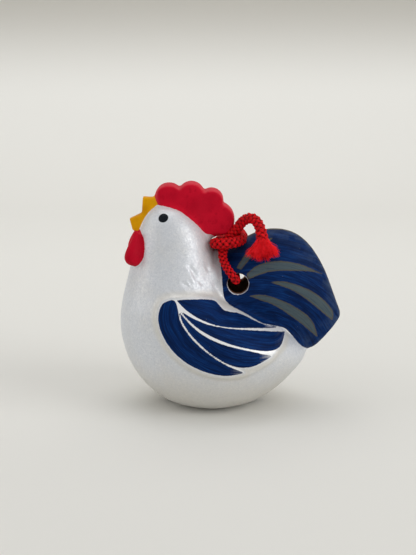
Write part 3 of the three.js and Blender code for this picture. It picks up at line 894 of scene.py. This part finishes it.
def soft_clay(settings):
    """The two packed halves as one softened hollow bird, with its scooped feathers and eyes."""
    on_joint, same_place = 0.01 * MM, 0.002 * MM
    halves = bmesh.new()
    for node in ("clay_half_left", "clay_half_right"):
        halves.from_mesh(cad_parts[node].data)
    joint = [f for f in halves.faces if max(abs(v.co.y) for v in f.verts) < on_joint]
    bmesh.ops.delete(halves, geom=joint, context="FACES")
    bmesh.ops.remove_doubles(halves, verts=halves.verts, dist=same_place)
    bird = add_object("bird", shaped_mesh("bird", halves))
    even = bird.modifiers.new("even", "REMESH")
    even.mode = "VOXEL"
    even.voxel_size = settings.skin
    bird.data = shown_mesh(bird)
    bird.modifiers.clear()
    places = mesh_array(bird.data.vertices, "co", 3) / MM
    give = bird.vertex_groups.new(name="give")
    soft = softness(places)
    for level in np.unique(soft):
        give.add(np.flatnonzero(soft == level).tolist(), float(level), "REPLACE")
    melt = bird.modifiers.new("melt", "SMOOTH")
    melt.factor = 0.5
    melt.iterations = settings.melt
    melt.vertex_group = give.name
    mesh = shown_mesh(bird)
    bpy.data.objects.remove(bird)
    places = mesh_array(mesh.vertices, "co", 3) / MM
    foot = places[:, 2] < FOOT_HEIGHT
    places[foot, 2] = 0
    flatten_comb(places)
    fill_notch(places)
    fill_corner(places)
    round_hole(places)
    hollow = hollow_share(mesh, places)
    normals = mesh_array(mesh.vertices, "normal", 3)
    side = places[:, (0, 2)]
    lift = sum(groove(side, *scoop) for scoop in HACKLES)
    eye = from_eye(places) / EYE_RADIUS
    lift += EYE_BULGE * np.clip(1 - eye**2, 0, 1)
    waver = np.array([noise.noise(Vector(p) * WAVER_SCALE) for p in places])
    lift = np.where(hollow > 0, 0, lift + waver * settings.unevenness / MM)
    lift[foot] = 0
    places += normals * lift[:, None]
    mesh.vertices.foreach_set("co", (places * MM).astype(np.float32).ravel())
    add_values(mesh, "hollow", hollow)
    return mesh


def half_bird(name, mesh, outward):
    """One half of the bird, cut along the joint and closed there."""
    half = bmesh.new()
    half.from_mesh(mesh)
    bmesh.ops.bisect_plane(
        half, geom=half.verts[:] + half.edges[:] + half.faces[:], dist=0.02 * MM,
        plane_co=(0, 0, 0), plane_no=(0, outward, 0), clear_inner=True,
    )
    rim = [e for e in half.edges if e.is_boundary]
    wall = bmesh.ops.triangle_fill(half, use_beauty=True, edges=rim)["geom"]
    for edge in rim:
        edge.smooth = False
    faces = [g for g in wall if isinstance(g, bmesh.types.BMFace)]
    bmesh.ops.recalc_face_normals(half, faces=faces)
    return add_object(name, shaped_mesh(name, half))


class RoosterOperator(bpy.types.Operator):
    """One step of making the rooster bell."""

    bl_options = {"REGISTER", "UNDO"}


class ROOSTER_OT_stage(RoosterOperator):
    """Sets the camera, the pale floor with its backdrop, and the lights"""

    bl_idname = "rooster.stage"
    bl_label = "Set the Stage"

    def execute(self, context):
        scene, settings = context.scene, context.scene.rooster_stage
        scene.view_settings.view_transform = "Standard"
        aim = Vector(settings.aim)
        back = Vector((0, -math.cos(settings.elevation), math.sin(settings.elevation)))
        self.camera(scene, settings, aim, back)
        self.floor(settings)
        for name, (place, size) in LAMPS.items():
            self.lamp(name, getattr(settings, name), place, aim, size)
        world = bpy.data.worlds.new("room")
        world.use_nodes = True
        room = world.node_tree.nodes["Background"]
        room.inputs["Color"].default_value = (1, 1, 1, 1)
        room.inputs["Strength"].default_value = settings.ambient
        scene.world = world
        return {"FINISHED"}

    def camera(self, scene, settings, aim, back):
        """The camera at the picture's viewing angle."""
        data = bpy.data.cameras.new("camera")
        data.lens = settings.focal_pixels / max(IMAGE_WIDTH, IMAGE_HEIGHT) * data.sensor_width
        data.clip_start = 0.01
        eye = bpy.data.objects.new("camera", data)
        eye.location = aim + back * settings.distance
        eye.rotation_euler = back.to_track_quat("Z", "Y").to_euler()
        scene.collection.objects.link(eye)
        scene.camera = eye

    def floor(self, settings):
        """A floor that curves up into the backdrop."""
        wide, near, far, bend, tall = 3.0, -1.5, 0.34, 0.25, 1.6
        paper = bmesh.new()
        front, foot = [paper.verts.new((-wide, y, 0)) for y in (near, far)]
        paper.edges.new((front, foot))
        turned = bmesh.ops.spin(
            paper, geom=[foot], cent=(0, far, bend), axis=(1, 0, 0), dvec=(0, 0, 0),
            angle=math.pi / 2, steps=24,
        )["geom_last"]
        top = paper.verts.new((-wide, far + bend, bend + tall))
        paper.edges.new((turned[0], top))
        grown = bmesh.ops.extrude_edge_only(paper, edges=paper.edges)["geom"]
        moved = [g for g in grown if isinstance(g, bmesh.types.BMVert)]
        bmesh.ops.translate(paper, verts=moved, vec=(2 * wide, 0, 0))
        bmesh.ops.remove_doubles(paper, verts=paper.verts, dist=0.1 * MM)
        bmesh.ops.recalc_face_normals(paper, faces=paper.faces)
        if sum(f.normal.z for f in paper.faces) < 0:
            bmesh.ops.reverse_faces(paper, faces=paper.faces)
        mesh = shaped_mesh("floor", paper)
        mesh.materials.append(stage_paper(settings))
        add_object("floor", mesh)

    def lamp(self, name, watts, place, aim, size):
        """A square soft lamp turned to the bird."""
        data = bpy.data.lights.new(name, "AREA")
        data.energy = watts
        data.size = size
        light = bpy.data.objects.new(name, data)
        light.location = place
        light.rotation_euler = (Vector(place) - aim).to_track_quat("Z", "Y").to_euler()
        bpy.context.scene.collection.objects.link(light)


class ROOSTER_OT_cord(RoosterOperator):
    """Braids the red cord through the hole, ties its half knot and frays its two ends"""

    bl_idname = "rooster.cord"
    bl_label = "Tie the Cord"

    def execute(self, context):
        settings = context.scene.rooster_cord
        route = smooth_line(CORD_ROUTE, ROUTE_STEPS)
        middle = HOLE_MIDDLE * ROUTE_STEPS
        silk = dyed_silk("braided_silk", settings.worn_red, settings.red, settings.deep_red)
        # The frayed ends take the braid's plain red as painted shade in their middle.
        loose = dyed_silk("frayed_silk", settings.combed, settings.frayed, settings.red)
        self.half("left", route[middle::-1], settings, silk, loose)
        self.half("right", route[middle:], settings, silk, loose)
        return {"FINISHED"}

    def half(self, side, route, settings, silk, loose):
        """One half of the cord, from the middle of the hole to its tassel."""
        line = even_line(route, BRAID_STEP)
        cord = self.braid("cord_" + side, line, settings)
        cord.data.materials.append(silk)
        end = side + "_end"
        nodes = ["knot_strand_" + side, "cord_end_" + side]
        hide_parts(*nodes, *(["cord_loop"] if side == "left" else []))
        tassel = self.tassel("tassel_" + side + "_fibres", line, settings, TASSEL_SEEDS[side])
        tassel.data.materials.append(loose)
        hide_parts("tassel_" + side)
        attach(tassel, end)
        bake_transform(cord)

    def braid(self, name, line, settings):
        """Eight strands, four of each hand, that pass over and under each other round a core."""
        near_tassel, flare = 4 * MM, 0.16
        sunk, dive, squeeze = 0.3, 0.26, 0.18
        run = run_of(line)
        one, two = rolling_sides(line)
        turn = 2 * np.pi * run / settings.lead
        wave = np.cos(BRAID_HAND * turn)
        swell = np.interp(run, (run[-1] - near_tassel, run[-1]), (1, 1 + flare))
        swell *= np.interp(run, TIGHT_RUN, (TIGHT_SHARE, 1))
        middle = settings.diameter / 2 - sunk * settings.strand
        lines, radii = [], []
        for hand in (1, -1):
            out = middle * (1 - dive + hand * dive * wave) * swell
            for start in range(BRAID_HAND):
                angle = hand * turn + start * 2 * np.pi / BRAID_HAND
                way = one * np.cos(angle)[:, None] + two * np.sin(angle)[:, None]
                lines.append(line + way * out[:, None])
                radii.append(swell * (1 + squeeze * hand * wave))
        cord = swept_threads(name, lines, radii, settings.strand, roundness=2)
        places = mesh_array(cord.data.vertices, "co", 3)
        nearest = [distances(line - place).argmin() for place in places]
        reach = distances(places - line[nearest]) / swell[nearest]
        # How far out each place stands; the silk paints shade where it is sunk between strands.
        add_values(cord.data, "rise", reach / (middle + settings.strand))
        return cord

    def tassel(self, name, line, settings, seed):
        """Frayed silk, combed out in clumps that flare and droop."""
        draw = random.Random(seed)
        neck, ahead = line[-1], line[-1] - line[-3]
        ahead = ahead / np.linalg.norm(ahead)
        broad = np.array((1.0, 0, 0)) - ahead * ahead[0]
        broad /= np.linalg.norm(broad)
        deep = np.cross(ahead, broad)
        clumps = []
        for number in range(settings.clumps):
            angle = 2 * math.pi * (number + draw.uniform(-0.3, 0.3)) / settings.clumps
            share = draw.uniform(0.35, 1.0)
            clumps.append(
                (share * math.cos(angle), share * math.sin(angle), draw.uniform(0.8, 1.0))
            )
        lines, radii = [], []
        bundle, root = 1.25 * MM, 0.8 * MM
        half_spread, half_depth = 0.48 * settings.spread, 0.5 * settings.depth
        crown, fall = 1.12, 0.55
        places = np.linspace(0, 1, 9)
        taper = np.interp(places, (0, 0.8, 1), (1, 0.9, 0.4))
        for _ in range(settings.fibres):
            wide, thick, reach = draw.choice(clumps)
            wide += draw.gauss(0, 0.1)
            thick += draw.gauss(0, 0.14)
            drop = math.sqrt(max(0.0, crown - fall * (wide * wide + thick * thick)))
            reach = reach * drop * draw.uniform(0.7, 1.0) * settings.tassel
            angle = draw.uniform(0, 2 * math.pi)
            inner = math.sqrt(draw.random()) * bundle
            flare = places ** draw.uniform(0.75, 1.25)
            curl = draw.uniform(-0.5, 0.5) * MM
            sway = np.sin(places * math.pi * draw.uniform(1.4, 3.4)) * curl
            start = 1 - flare
            across = inner * math.cos(angle) * start + wide * half_spread * flare + sway
            through = inner * math.sin(angle) * start + thick * half_depth * flare - sway
            down = reach * places - root * (1 - places)
            lines.append(
                neck + down[:, None] * ahead + across[:, None] * broad + through[:, None] * deep
            )
            radii.append(taper * draw.uniform(0.75, 1.2))
        tassel = swept_threads(name, lines, radii, settings.fibre, roundness=0)
        gaps = mesh_array(tassel.data.vertices, "co", 3) - neck
        down = np.clip(gaps @ ahead / settings.tassel, 0.1, 1)
        reach = np.hypot(gaps @ broad / settings.spread, gaps @ deep / settings.depth) * 2 / down
        # Fibres deep in the middle of the tassel get painted shade.
        middle_rise, outer_rise = 0.45, 0.5
        add_values(tassel.data, "rise", np.clip(middle_rise + outer_rise * reach, 0, 1))
        return tassel


class ROOSTER_OT_clay(RoosterOperator):
    """Softens the moulded clay halves and paints them"""

    bl_idname = "rooster.clay"
    bl_label = "Paint the Clay"

    def execute(self, context):
        settings = context.scene.rooster_clay
        whole = soft_clay(settings)
        material = paint_clay(settings)
        for side, outward in (("left", -1), ("right", 1)):
            half = half_bird("painted_half_" + side, whole, outward)
            areas, brush = paint_values(mesh_array(half.data.vertices, "co", 3).astype(float) / MM)
            for area, values in areas.items():
                add_values(half.data, area, values)
            add_values(half.data, "brush", brush)
            half.data.materials.append(material)
            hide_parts("clay_half_" + side)
            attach(half, "bird")
        bpy.data.meshes.remove(whole)
        return {"FINISHED"}


class ROOSTER_OT_pellet(RoosterOperator):
    """Rolls the loose clay pellet that rings the bell"""

    bl_idname = "rooster.pellet"
    bl_label = "Roll the Pellet"

    def execute(self, context):
        dent, waves = 0.05, 2.2
        low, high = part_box("rattle_pellet")
        middle, radius = (low + high) / 2, (high.x - low.x) / 2
        ball = bmesh.new()
        bmesh.ops.create_icosphere(ball, subdivisions=5, radius=radius)
        for vert in ball.verts:
            way = vert.co.normalized()
            vert.co -= way * radius * dent * (0.5 + 0.5 * noise.noise(way * waves))
        bmesh.ops.translate(ball, verts=ball.verts, vec=middle)
        mesh = shaped_mesh("rolled_pellet", ball)
        mesh.materials.append(pellet_clay(context.scene.rooster_clay))
        pellet = add_object("rolled_pellet", mesh)
        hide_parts("rattle_pellet")
        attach(pellet, "pellet")
        return {"FINISHED"}


STEPS = (ROOSTER_OT_stage, ROOSTER_OT_cord, ROOSTER_OT_clay, ROOSTER_OT_pellet)


class ROOSTER_PT_panel(bpy.types.Panel):
    """Lists the steps that make the rooster bell"""

    bl_label = "Rooster Bell"
    bl_space_type = "VIEW_3D"
    bl_region_type = "UI"
    bl_category = "Rooster Bell"

    def draw(self, context):
        for step in STEPS:
            self.layout.operator(step.bl_idname)


SETTINGS = {
    "rooster_clay": ClaySettings, "rooster_cord": CordSettings, "rooster_stage": StageSettings,
}
CLASSES = (*SETTINGS.values(), *STEPS, ROOSTER_PT_panel)


def register():
    """Adds the settings, the steps and the panel to Blender."""
    for cls in CLASSES:
        bpy.utils.register_class(cls)
    for name, group in SETTINGS.items():
        setattr(bpy.types.Scene, name, PointerProperty(type=group))


def unregister():
    """Takes them away again."""
    for name in SETTINGS:
        delattr(bpy.types.Scene, name)
    for cls in reversed(CLASSES):
        bpy.utils.unregister_class(cls)


def main():
    """Makes the rooster bell, step by step."""
    register()
    bpy.ops.rooster.stage()
    bpy.ops.rooster.cord()
    bpy.ops.rooster.clay()
    bpy.ops.rooster.pellet()


if __name__ == "__main__":
    main()
